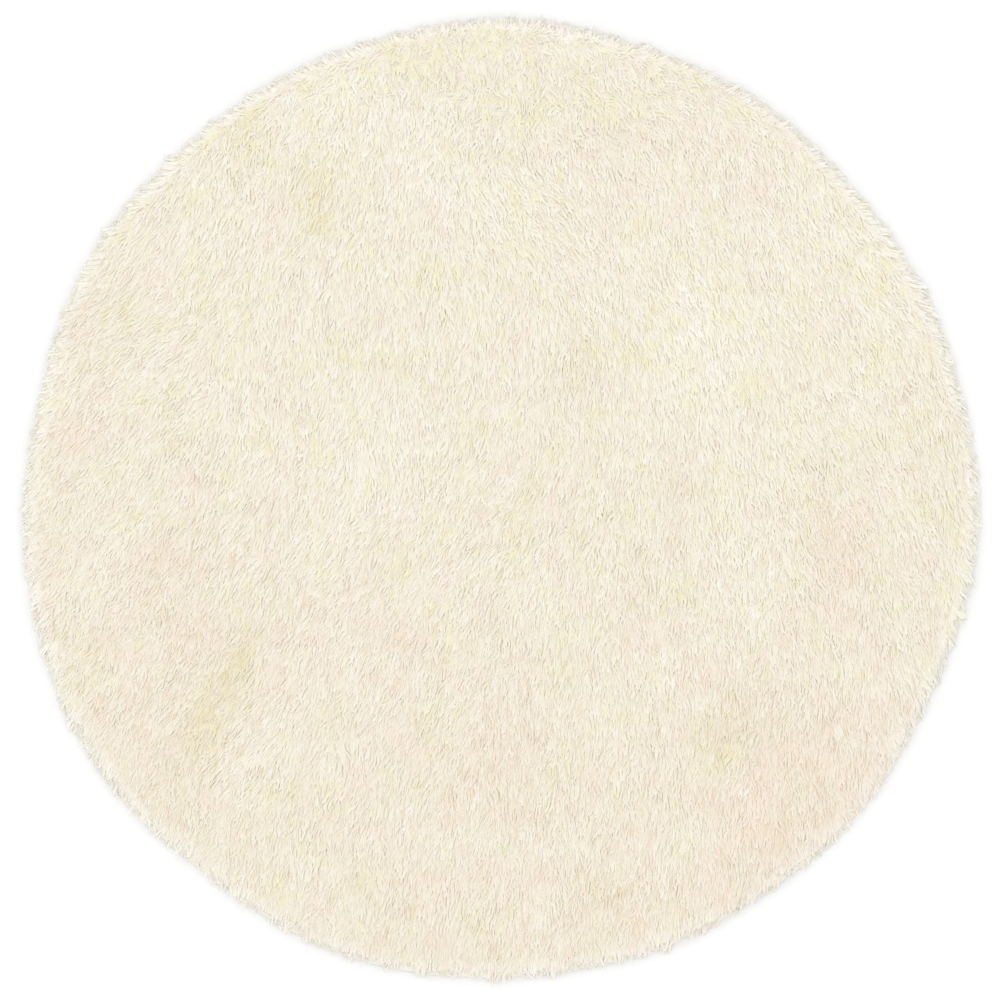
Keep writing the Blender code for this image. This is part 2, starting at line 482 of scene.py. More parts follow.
    def height(self, flat: np.ndarray) -> np.ndarray:
        """Finds the height of the outer form over the floor.

        Args:
            flat: places seen from above.

        Returns:
            The height at each place, and the foot's height outside the rug.
        """
        angle, far = polar(flat)
        down = np.clip((far - self.crown_end(angle)) / self.rim_width(angle), 0.0, 1.0)
        return self.foot + (self.crown(flat) - self.foot) * np.sqrt(1 - down * down)


class MaterialKit:
    """A new material, and what adds its nodes.

    Attributes:
        made: the material.
        nodes: its nodes.
        links: the links between them.
        shader: its shader.
    """

    def __init__(self, name: str, **values: object) -> None:
        """Makes the material.

        Args:
            name: the material's name.
            values: for its shader, as set_up takes them.
        """
        self.made = bpy.data.materials.new(name)
        self.made.use_nodes = True
        self.nodes, self.links = self.made.node_tree.nodes, self.made.node_tree.links
        self.shader = self.nodes["Principled BSDF"]
        self.set_up(self.shader, **values)

    def fill(self, socket: bpy.types.NodeSocket, value: object) -> None:
        """Gives a socket a plain value, or a link where the value is another node's output.

        Args:
            socket: the socket.
            value: what it gets.
        """
        if isinstance(value, bpy.types.NodeSocket):
            self.links.new(value, socket)
        else:
            socket.default_value = value

    def set_up(self, node: bpy.types.Node, **values: object) -> None:
        """Gives a node its settings, and fills its sockets.

        Args:
            node: the node.
            values: its settings, and then what fills each socket. A socket's name starts with a
                capital letter, and has _ for each space.
        """
        for name, value in values.items():
            if name[0].isupper():
                self.fill(node.inputs[name.replace("_", " ")], value)
            else:
                setattr(node, name, value)

    def add(self, kind: str, **values: object) -> bpy.types.NodeOutputs:
        """Adds a node.

        Args:
            kind: of node.
            values: for the node, as set_up takes them.

        Returns:
            Its outputs.
        """
        node = self.nodes.new(f"ShaderNode{kind}")
        self.set_up(node, **values)
        return node.outputs

    def work_out(self, operation: str, *values: object) -> bpy.types.NodeSocket:
        """Adds an operation on numbers or outputs.

        Args:
            operation: the node's own word for it.
            values: what it works on.

        Returns:
            Its output.
        """
        node = self.nodes.new("ShaderNodeMath")
        node.operation = operation
        for socket, value in zip(node.inputs, values):
            self.fill(socket, value)
        return node.outputs["Value"]

    def ramp(self, share: bpy.types.NodeSocket, stops: Stops) -> bpy.types.NodeSocket:
        """Adds a colour ramp.

        Args:
            share: the output that says where on the ramp to look.
            stops: places from 0 to 1 with their colours, in order.

        Returns:
            The colour.
        """
        node = self.nodes.new("ShaderNodeValToRGB")
        elements = node.color_ramp.elements
        while len(elements) < len(stops):
            elements.new(0.5)
        for element, (place, colour) in zip(elements, stops):
            element.position = place
            element.color = colour
        self.links.new(share, node.inputs["Fac"])
        return node.outputs["Color"]

    def emboss(self, pattern: bpy.types.NodeSocket, strength: float, height: float) -> None:
        """Raises the surface by a pattern's height, at a strength from 0 to 1."""
        bump = self.add("Bump", Strength=strength, Distance=height, Height=pattern)
        self.set_up(self.shader, Normal=bump["Normal"])


@dataclass(frozen=True)
class ShagFinish:
    """Cream shag yarn, deeper and warmer at its roots than at its tips: painted shade at the roots and
    painted light at the tips.

    The yarn's own map holds its tone: across, from the root darkened with painted shade to the tip
    lightened with painted light, and up, from a yellowish lock through a plain cream one to a pinkish
    one.

    Attributes:
        name: the material's name.
        shades: colours from root to tip, each with its place across the map: the deep warm ones are
            painted shade and the palest painted light.
        tints: what tints the yellowish, the plain and the pinkish locks, each with its place.
        roughness: of the yarn at its roots.
        tip_roughness: of the yarn at its tips.
        gloss: of the yarn.
        sheen: weight of the soft light on its fibres.
        sheen_roughness: how widely that light spreads.
        strand: from one fibre of a lock to the next on the map.
        relief: strength of the fibres' ridges.
        ridge: their height.
    """

    name: str = "cream_shag_yarn"
    # Painted shade at the roots, painted light at the tips
    shades: Stops = (
        (0.00, (0.850, 0.766, 0.580, 1.0)),
        (0.30, (0.920, 0.857, 0.710, 1.0)),
        (0.62, (0.955, 0.912, 0.810, 1.0)),
        (1.00, (0.995, 0.980, 0.925, 1.0)),
    )
    tints: Stops = (
        (0.00, (0.985, 0.975, 0.850, 1.0)),
        (0.50, (1.000, 1.000, 1.000, 1.0)),
        (1.00, (1.000, 0.940, 0.940, 1.0)),
    )
    roughness: float = 0.96
    tip_roughness: float = 0.86
    gloss: float = 0.2
    sheen: float = 0.25
    sheen_roughness: float = 0.45
    strand: float = 0.012
    relief: float = 0.25
    ridge: float = 0.0002

    def material(self) -> bpy.types.Material:
        """Makes the material.

        Returns:
            A material that reads the piece's own map.
        """
        kit = MaterialKit(
            self.name, Sheen_Weight=self.sheen, Sheen_Roughness=self.sheen_roughness,
            Specular_IOR_Level=self.gloss,
        )
        across, up, _ = kit.add("SeparateXYZ", Vector=kit.add("UVMap", uv_map=TONE_MAP)["UV"])
        # The ramp across the map paints shade at the roots and light at the tips
        tone = kit.add(
            "Mix", data_type="RGBA", blend_type="MULTIPLY", Factor=1.0,
            A=kit.ramp(across, self.shades), B=kit.ramp(up, self.tints),
        )
        rough = kit.add("MapRange", To_Min=self.roughness, To_Max=self.tip_roughness, Value=across)
        kit.set_up(kit.shader, Base_Color=tone["Result"], Roughness=rough["Result"])
        fibres = kit.work_out("MULTIPLY", up, math.tau / self.strand)
        kit.emboss(kit.work_out("SINE", fibres), self.relief, self.ridge)
        return kit.made


@dataclass(frozen=True)
class BedFinish:
    """The dense pile under the lock tips: matted yarn, seen only in the gaps between locks.

    Attributes:
        name: the material's name.
        shades: the colours of its hollows, darker with painted shade, and of its raised yarn, each with
            its place.
        edge: the pale colour of the pile low at the rug's edge, painted light that lifts its shade near
            the floor.
        painted_light_height: the height over the floor where that painted light starts. It is full at
            half of it.
        grain: how many strands there are to a metre.
        detail: how many times the grain is split finer.
        draw: the strands' width as a share of their length.
        roughness: of the yarn.
        relief: strength of its strands' relief.
        ridge: their height.
    """

    name: str = "deep_pile"
    shades: Stops = ((0.36, (0.890, 0.815, 0.660, 1.0)), (0.56, (0.960, 0.905, 0.785, 1.0)))
    edge: Colour = (0.985, 0.965, 0.900, 1.0)
    painted_light_height: float = 0.020
    grain: float = 1000.0
    detail: float = 3.0
    draw: float = 0.25
    roughness: float = 0.95
    relief: float = 0.7
    ridge: float = 0.002

    def material(self) -> bpy.types.Material:
        """Makes the material.

        Returns:
            A material that reads Object coordinates.
        """
        kit = MaterialKit(self.name, Roughness=self.roughness)
        place = kit.add("TexCoord")["Object"]
        drawn = kit.add("Mapping", Vector=place, Scale=(1.0, self.draw, 1.0))["Vector"]
        strands = kit.add("TexNoise", Vector=drawn, Scale=self.grain, Detail=self.detail)["Fac"]
        # Painted light: the bed is paler low at the rug's edge, near the floor, where it would lie in
        # shade
        low = kit.add(
            "MapRange", Value=kit.add("SeparateXYZ", Vector=place)["Z"],
            From_Min=self.painted_light_height, From_Max=self.painted_light_height / 2,
        )["Result"]
        # Painted shade: the bed's hollows are darker and yellower than its raised strands
        shade = kit.ramp(strands, self.shades)
        tone = kit.add("Mix", data_type="RGBA", Factor=low, A=shade, B=self.edge)["Result"]
        kit.set_up(kit.shader, Base_Color=tone)
        kit.emboss(strands, self.relief, self.ridge)
        return kit.made


@dataclass(frozen=True)
class ClothFinish:
    """Plain woven ground cloth with fine rows of yarn stitched through it.

    Attributes:
        name: the material's name.
        shades: the colours between its threads, darker with painted shade, and on them, each with its
            place.
        pitch: from one row of stitches to the next.
        bands: how far the wave pattern turns in a metre at a scale of 1, in radians.
        unevenness: how much the rows wander.
        roughness: of the cloth.
        relief: strength of its threads' relief.
        ridge: their height.
    """

    name: str = "ground_weave"
    shades: Stops = ((0.05, (0.480, 0.440, 0.360, 1.0)), (0.45, (0.700, 0.660, 0.570, 1.0)))
    pitch: float = 0.0032
    bands: float = 20.0
    unevenness: float = 0.6
    roughness: float = 0.9
    relief: float = 0.6
    ridge: float = 0.0006

    def material(self) -> bpy.types.Material:
        """Makes the material.

        Returns:
            A material that reads Object coordinates.
        """
        kit = MaterialKit(self.name, Roughness=self.roughness)
        place = kit.add("TexCoord")["Object"]
        weave = kit.work_out("MULTIPLY", *(
            kit.add(
                "TexWave", bands_direction=direction, Scale=math.tau / self.pitch / self.bands,
                Distortion=self.unevenness, Detail=1.0, Vector=place,
            )["Fac"] for direction in "XY"
        ))
        # Painted shade: the cloth is darker between its threads
        kit.set_up(kit.shader, Base_Color=kit.ramp(weave, self.shades))
        kit.emboss(weave, self.relief, self.ridge)
        return kit.made


@dataclass(frozen=True)
class FloorFinish:
    """The plain pale floor.

    Attributes:
        name: the material's name.
        colour: of the floor.
        roughness: of the floor.
    """

    name: str = "pale_floor"
    colour: Colour = (0.97, 0.97, 0.97, 1.0)
    roughness: float = 0.9

    def material(self) -> bpy.types.Material:
        """Makes a plain matt material."""
        return MaterialKit(self.name, Base_Color=self.colour, Roughness=self.roughness).made


def mesh_from(name: str, bm: bmesh.types.BMesh) -> bpy.types.Mesh:
    """Makes a mesh of a bmesh, and frees that.

    Args:
        name: the mesh's name.
        bm: the bmesh.

    Returns:
        The mesh.
    """
    mesh = bpy.data.meshes.new(name)
    bm.to_mesh(mesh)
    bm.free()
    return mesh


def finished_piece(mesh: bpy.types.Mesh, material: bpy.types.Material) -> bpy.types.Object:
    """Puts a mesh in the scene as a piece of the rug.

    Args:
        mesh: the mesh, with its place in its points. The piece takes its name.
        material: its material.

    Returns:
        The piece, with the material in its mesh's slot, which rides on the rug's body and
        stands for the CAD node with the others.
    """
    mesh.materials.append(material)
    piece = bpy.data.objects.new(mesh.name, mesh)
    bpy.context.scene.collection.objects.link(piece)
    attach(piece, BODY)
    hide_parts(NODE)
    return piece


class Ring(NamedTuple):
    """One ring of a lock: its place from root to tip, and its share of the lock's full width."""

    place: float
    share: float


@dataclass(frozen=True)
class LockShape:
    """The shape of one lock of yarn, straight up and one unit wide, to be bent and repeated.

    Attributes:
        rings: between its pointed root and its tip.
        sides: of its section.
        flatness: its thickness as a share of its width.
    """

    rings: tuple[Ring, ...]
    sides: int = 3
    flatness: float = 0.30

    def model(self) -> bmesh.types.BMesh:
        """Models the lock by drawing a small sphere out.

        Returns:
            A closed lock along +Z, from 0 to 1, with its ridge towards +Y.
        """
        bm = bmesh.new()
        bmesh.ops.create_uvsphere(
            bm, u_segments=self.sides, v_segments=len(self.rings) + 1, radius=1.0
        )
        levels: dict[float, list[bmesh.types.BMVert]] = {}
        for vert in bm.verts:
            levels.setdefault(round(vert.co.z, 3), []).append(vert)
        for level, ring in zip(sorted(levels), (Ring(0.0, 1.0), *self.rings, Ring(1.0, 1.0))):
            verts = levels[level]
            width = max(math.hypot(vert.co.x, vert.co.y) for vert in verts)
            scale = ring.share / (2 * max(width, TINY))
            bmesh.ops.scale(bm, verts=verts, vec=(scale, scale * self.flatness, 0))
            bmesh.ops.translate(bm, verts=verts, vec=(0, 0, ring.place))
        return bm


@dataclass
class Locks:
    """Many locks, one in each row.

    Attributes:
        root: where each starts in the bed of the pile.
        bend: the point that its stem bends towards.
        tip: where it ends.
        out: the direction that faces out of the pile at its tip.
        width: its full width.
        roll: the turn of its section.
        lightness: added to its tone; painted light and shade are part of it.
        hue: of its tone.
    """

    root: np.ndarray
    bend: np.ndarray
    tip: np.ndarray
    out: np.ndarray
    width: np.ndarray
    roll: np.ndarray
    lightness: np.ndarray
    hue: np.ndarray

    def only(self, chosen: np.ndarray) -> "Locks":
        """The chosen locks alone."""
        return Locks(*(part[chosen] for part in vars(self).values()))


class Clumps(NamedTuple):
    """What the locks of a clump share, one lock in each row: its middle, and its differences."""

    middle: np.ndarray
    turn: np.ndarray
    rise: np.ndarray
    lightness: np.ndarray
    hue: np.ndarray


@dataclass(frozen=True)
class LockMesher:
    """What bends, tones and joins locks of one shape.

    Attributes:
        shape: of one lock.
        floor_gap: the least height over the floor.
        root_shade_tone: a lock's tone at its root, low on the map, which is painted shade.
        tip_light_gain: what its tone gains to its tip, which is painted light.
        gain_power: how late on its way it does.
        round_hue: what its hue gains round its section, to a radian.
        map_margin: the least distance from the edge of the map of tones.
        softness: how far the locks' shading turns towards the outside of the pile.
        lift: how far that outside is taken to face up.
        least_facing: how far a face has to face out for that.
    """

    shape: LockShape
    floor_gap: float = 0.0004
    root_shade_tone: float = 0.28
    tip_light_gain: float = 0.45
    gain_power: int = 4
    round_hue: float = 0.008
    map_margin: float = 0.004
    softness: float = 0.70
    lift: float = 1.2
    least_facing: float = 0.2

    def bent(self, locks: Locks, rest: np.ndarray) -> np.ndarray:
        """Bends the lock shape along each lock.

        Args:
            locks: the locks.
            rest: the points of the straight lock shape.

        Returns:
            The points of all the locks, one lock after the other.
        """
        t = rest[:, 2][None, :, None]
        root, bend, tip = (part[:, None, :] for part in (locks.root, locks.bend, locks.tip))
        stem = (1 - t) ** 2 * root + 2 * t * (1 - t) * bend + t * t * tip
        ahead = unit(2 * (1 - t) * (bend - root) + 2 * t * (tip - bend))
        side = unit(np.cross(locks.out[:, None, :], ahead))
        rise = np.cross(ahead, side)
        cos, sin = np.cos(locks.roll)[:, None], np.sin(locks.roll)[:, None]
        across = (rest[None, :, 0] * cos - rest[None, :, 1] * sin) * locks.width[:, None]
        upward = (rest[None, :, 0] * sin + rest[None, :, 1] * cos) * locks.width[:, None]
        points = stem + side * across[:, :, None] + rise * upward[:, :, None]
        points[:, :, 2] = np.maximum(points[:, :, 2], self.floor_gap)
        return points.reshape(-1, 3)

    def tones(self, locks: Locks, rest: np.ndarray) -> np.ndarray:
        """Works out where each point of each lock lies on the yarn's map of tones.

        Args:
            locks: the locks.
            rest: the points of the straight lock shape.

        Returns:
            Two numbers from 0 to 1 for each point.
        """
        angle, far = polar(rest)
        # Painted shade and light: each lock is darker towards its root and lighter towards its tip
        along = self.root_shade_tone + self.tip_light_gain * rest[:, 2] ** self.gain_power
        across = along[None, :] + locks.lightness[:, None]
        up = locks.hue[:, None] + self.round_hue * np.where(far > 0, angle, 0)[None, :]
        map_end = 1 - self.map_margin
        return np.clip(np.stack([across, up], axis=2), self.map_margin, map_end).reshape(-1, 2)

    def join(self, name: str, locks: Locks) -> bpy.types.Mesh:
        """Joins many locks into one mesh.

        Args:
            name: the mesh's name.
            locks: the locks.

        Returns:
            The mesh, shaded smooth, with the yarn's map of tones.
        """
        bm = self.shape.model()
        bm.verts.index_update()
        rest = np.array([vert.co[:] for vert in bm.verts])
        corners = np.array([vert.index for face in bm.faces for vert in face.verts])
        sizes = np.array([len(face.verts) for face in bm.faces])
        bm.free()

        count = len(locks.width)
        each = np.arange(count)[:, None]
        corner = (corners[None, :] + len(rest) * each).ravel()
        start = (np.cumsum(sizes)[None, :] - sizes + len(corners) * each).ravel()

        mesh = bpy.data.meshes.new(name)
        mesh.vertices.add(count * len(rest))
        mesh.vertices.foreach_set("co", self.bent(locks, rest).astype(np.float32).ravel())
        mesh.loops.add(len(corner))
        mesh.loops.foreach_set("vertex_index", corner.astype(np.int32))
        mesh.polygons.add(len(start))
        mesh.polygons.foreach_set("loop_start", start.astype(np.int32))
        mesh.polygons.foreach_set("use_smooth", np.ones(len(start), bool))
        mesh.update(calc_edges=True)
        tones = mesh.uv_layers.new(name=TONE_MAP)
        tones.uv.foreach_set("vector", self.tones(locks, rest)[corner].astype(np.float32).ravel())
        out = np.repeat(unit(locks.out + (0, 0, self.lift)), len(rest), axis=0)[corner]
        mesh.normals_split_custom_set(self.soft_normals(mesh, out, corner, np.tile(sizes, count)))
        return mesh

    def soft_normals(
        self, mesh: bpy.types.Mesh, out: np.ndarray, corner: np.ndarray, sizes: np.ndarray
    ) -> np.ndarray:
        """Turns the locks' shading towards the outside of the pile, as loose fibres spread light.

        Args:
            mesh: the locks' mesh.
            out: the direction that faces out of the pile, at each corner of the mesh's faces.
            corner: the point at each of those corners.
            sizes: how many corners each face has.

        Returns:
            A shading direction for each corner.
        """
        face, own = (np.empty(len(items) * 3, np.float32) for items in (mesh.polygons, mesh.vertices))
        mesh.polygons.foreach_get("normal", face)
        mesh.vertices.foreach_get("normal", own)
        face = np.repeat(face.reshape(-1, 3), sizes, axis=0)
        own = own.reshape(-1, 3)[corner]
        facing = (face * out).sum(axis=1, keepdims=True)
        soft = unit(self.softness * out + (1 - self.softness) * own)
        return np.where(facing > self.least_facing, soft, face).astype(np.float32)


@dataclass(frozen=True)
class RaggedEdge:
    """How the pile ends at the rug's edge: in uneven tufts and a few loose hairs.

    Attributes:
        outline: the rug's edge.
        spill: how strongly the rim's locks turn outwards where the nap runs back over the rug.
        spill_span: the shares of the rim's rounding between which they come to do so.
        reach: how far the tufts reach out where the nap runs off the rug.
        held_reach: share of that which is left where it runs back.
        reach_span: the shares of the rounding between which the locks come to reach out.
        tufts: the noise that parts the tufts.
        lock_reach: middle and spread of what each lock adds to its tuft.
        loose_from: share of the rounding below which some locks are loose hairs.
        loose_share: how many of them are.
        loose_reach: the least and the most that those reach out.
        loose_pull: share of that by which they reach along the lock, and as far outwards.
        loose_width: their width as a share of a lock's.
    """

    outline: Outline
    spill: float = 2.2
    spill_span: tuple[float, float] = (0.45, 0.80)
    reach: float = 0.006
    held_reach: float = 0.45
    reach_span: tuple[float, float] = (0.50, 0.85)
    tufts: Ripple = Ripple(2.0, 0.009, 6)
    lock_reach: tuple[float, float] = (-0.25, 0.25)
    loose_from: float = 0.55
    loose_share: float = 0.02
    loose_reach: tuple[float, float] = (0.001, 0.006)
    loose_pull: float = 0.7
    loose_width: float = 0.45

    def spill_over(self, flow: np.ndarray, flat: np.ndarray, share: np.ndarray) -> np.ndarray:
        """Turns the locks low on the rim outwards, where the nap does not run off the rug.

        Args:
            flow: the way that each lock lies, seen from above.
            flat: their places seen from above.
            share: of the rim's rounding above each place.

        Returns:
            The way that each lock lies, with those turned.
        """
        angle, _ = polar(flat)
        pull = self.spill * ease(share, *self.spill_span) * (1 - self.outline.run_off(angle))
        return unit(flow + outward(angle) * pull[:, None])

    def reach_of(self, tufts: np.ndarray, angle: np.ndarray) -> np.ndarray:
        """How far tufts reach out, by their own height and their angle round the rug."""
        left = self.held_reach + (1 - self.held_reach) * self.outline.run_off(angle)
        return self.reach * left * tufts

    def fray(
        self, tip: np.ndarray, flow: np.ndarray, share: np.ndarray, dice: np.random.Generator
    ) -> tuple[np.ndarray, np.ndarray]:
        """Sends the tips at the rug's edge out unevenly, and a few of them as loose hairs.

        Args:
            tip: the tips.
            flow: the way that each lock lies, seen from above.
            share: of the rim's rounding above each tip.
            dice: the random draws.

        Returns:
            How each tip moves, and which of the locks are loose hairs.
        """
        count = len(tip)
        angle, _ = polar(tip)
        loose = (share > self.loose_from) & (dice.random(count) < self.loose_share)
        tufts = self.tufts.over(tip[:, :2]) + dice.normal(*self.lock_reach, count)
        reach = ease(share, *self.reach_span) * self.reach_of(tufts, angle)
        hair = self.loose_pull * np.where(loose, dice.uniform(*self.loose_reach, count), 0.0)
        move = outward(angle) * (reach + hair)[:, None] + flow * hair[:, None]
        return np.column_stack([move, np.zeros(count)]), loose


@dataclass(frozen=True)
class FringeHairs:
    """Fine loose hairs round the rug's edge, which soften its outline.

    Attributes:
        count: how many there are.
        shape: of one hair.
        width: a hair's full width.
        width_span: the least and the most of that which one has, as shares.
        length: the least and the most that one is long.
        outward_pull: how strongly they point away from the middle, beside the nap.
        turn: spread of the way that they point.
        reach: middle and spread of what one adds to its tuft.
        root_depth: from the pile's outer form down to a hair's root.
        bend_rise: the most that its middle stands over that form.
        tip_rise: the most that its tip does.
        face_up: how far the outside of the pile is taken to face up.
        most_roll: how far a hair turns about its own length.
        lightness: middle and spread of what is added to their tone, mostly painted light that lifts the
            hairs out of their shade.
        hue: middle and spread of their hue.
    """

    count: int = 7000
    shape: LockShape = LockShape((Ring(0.45, 1.0),))
    width: float = 0.0012
    width_span: tuple[float, float] = (0.7, 1.3)
    length: tuple[float, float] = (0.005, 0.010)
    outward_pull: float = 1.3
    turn: float = 0.55
    reach: tuple[float, float] = (-0.0024, 0.0016)
    root_depth: float = 0.0015
    bend_rise: float = 0.0010
    tip_rise: float = 0.0020
    face_up: float = 1.2
    most_roll: float = math.radians(35)
    lightness: tuple[float, float] = (0.40, 0.10)
    hue: tuple[float, float] = (0.45, 0.15)

    def lay(self, surface: PileSurface, edge: RaggedEdge, dice: np.random.Generator) -> Locks:
        """Lays the hairs.

        Args:
            surface: the pile's outer form.
            edge: how the pile ends at the rug's edge.
            dice: the random draws.

        Returns:
            The hairs.
        """
        count, outline = self.count, surface.outline
        angle = dice.uniform(-math.pi, math.pi, count)
        way = outward(angle)
        place = outline.nap.radius * way
        pull = self.outward_pull * way + outline.nap.flow(place)
        ahead = unit(pull + dice.normal(0, self.turn, (count, 2)))
        reach = edge.reach_of(edge.tufts.over(place), angle) + dice.normal(*self.reach, count)
        tip = way * (outline.tips(angle) + reach)[:, None]
        run = ahead * dice.uniform(*self.length, count)[:, None]
        middle, root = tip - 0.5 * run, tip - run
        bend_rise, tip_rise = (dice.uniform(0, rise, count) for rise in (self.bend_rise, self.tip_rise))
        return Locks(
            root=np.column_stack([root, surface.height(root) - self.root_depth]),
            bend=np.column_stack([middle, surface.height(middle) + bend_rise]),
            tip=np.column_stack([tip, surface.height(tip) + tip_rise]),
            out=unit(np.column_stack([way, np.full(count, self.face_up)])),
            width=self.width * dice.uniform(*self.width_span, count),
            roll=dice.uniform(-self.most_roll, self.most_roll, count),
            # Painted light: the hairs are made lighter than the locks around them
            lightness=dice.normal(*self.lightness, count),
            hue=dice.normal(*self.hue, count),
        )


@dataclass(frozen=True)
class PileTint:
    """How the locks' tones vary over the pile, with painted light and shade among them, as shares of
    the yarn's map of tones.

    Attributes:
        patches: the soft patches of painted light and shade, and of hue.
        lock_light: spread of the single locks' lightness.
        light_ripple: slow changes of lightness.
        lump_light_and_shade: painted light that the top of a lump adds to the lightness, and painted
            shade that a dip takes off.
        lump: the height of that top over the crown's usual height.
        painted_rim_light: painted light that the low rim adds, which lifts its shaded locks.
        rim_span: the shares of the rim's rounding between which it comes to that.
        far_light: what the far edge adds, and the near edge takes off.
        plain_hue: the hue of a plain lock.
        lock_hue: spread of the single locks' hue.
        hue_ripples: slow and quick changes of hue.
        far_hue: what a radius towards the far edge adds to the hue.
        far_hue_end: share of the radius past which it adds no more.
    """

    patches: tuple[Patch, ...] = PATCHES
    lock_light: float = 0.06
    light_ripple: Ripple = Ripple(0.085, 0.090, 3)
    lump_light_and_shade: float = 0.035
    lump: float = 0.006
    painted_rim_light: float = 0.42
    rim_span: tuple[float, float] = (0.50, 0.90)
    far_light: float = 0.10
    plain_hue: float = 0.5
    lock_hue: float = 0.03
    hue_ripples: tuple[Ripple, ...] = (Ripple(0.42, 0.050, 4), Ripple(0.45, 0.014, 5))
    far_hue: float = -0.14
    far_hue_end: float = 0.3

    def patch_tones(self, flat: np.ndarray) -> tuple[np.ndarray, np.ndarray]:
        """Adds up the soft patches of tone, with painted light and shade among them.

        Args:
            flat: places seen from above.

        Returns:
            The lightness and the hue that they add at each place.
        """
        lightness, hue = np.zeros(len(flat)), np.zeros(len(flat))
        for patch in self.patches:
            heading = math.radians(patch.heading)
            x, y = flat[:, 0] - patch.x, flat[:, 1] - patch.y
            ahead = x * math.sin(heading) - y * math.cos(heading)
            aside = x * math.cos(heading) + y * math.sin(heading)
            share = np.exp(-(ahead / patch.half_length) ** 2 - (aside / patch.half_width) ** 2)
            # Painted light and shade of the patches
            lightness += patch.lightness * share
            hue += patch.hue * share
        return lightness, hue

    def tones(
        self, flat: np.ndarray, share: np.ndarray, clumps: Clumps, surface: PileSurface,
        dice: np.random.Generator,
    ) -> tuple[np.ndarray, np.ndarray]:
        """Works out the locks' tones.

        Args:
            flat: their places seen from above.
            share: of the rim's rounding above each tip.
            clumps: what the locks of a clump share.
            surface: the pile's outer form.
            dice: the random draws.

        Returns:
            The lightness and the hue of each lock.
        """
        far = flat[:, 1] / surface.outline.nap.radius
        lump = np.clip((surface.crown(flat) - surface.level) / self.lump, -1, 1)
        light, hue = self.patch_tones(flat)
        light += clumps.lightness + dice.normal(0, self.lock_light, len(flat))
        # Painted light on the tops of lumps and painted shade in dips, and slow changes of lightness
        light += self.lump_light_and_shade * lump + self.light_ripple.over(flat)
        # Painted light on the low rim, where its locks lie in shade; and a change of lightness from the
        # far edge to the near one
        light += self.painted_rim_light * ease(share, *self.rim_span) + self.far_light * far
        hue += self.plain_hue + clumps.hue + dice.normal(0, self.lock_hue, len(flat))
        hue += sum(ripple.over(flat) for ripple in self.hue_ripples)
        hue += self.far_hue * np.minimum(far, self.far_hue_end)
        return light, hue


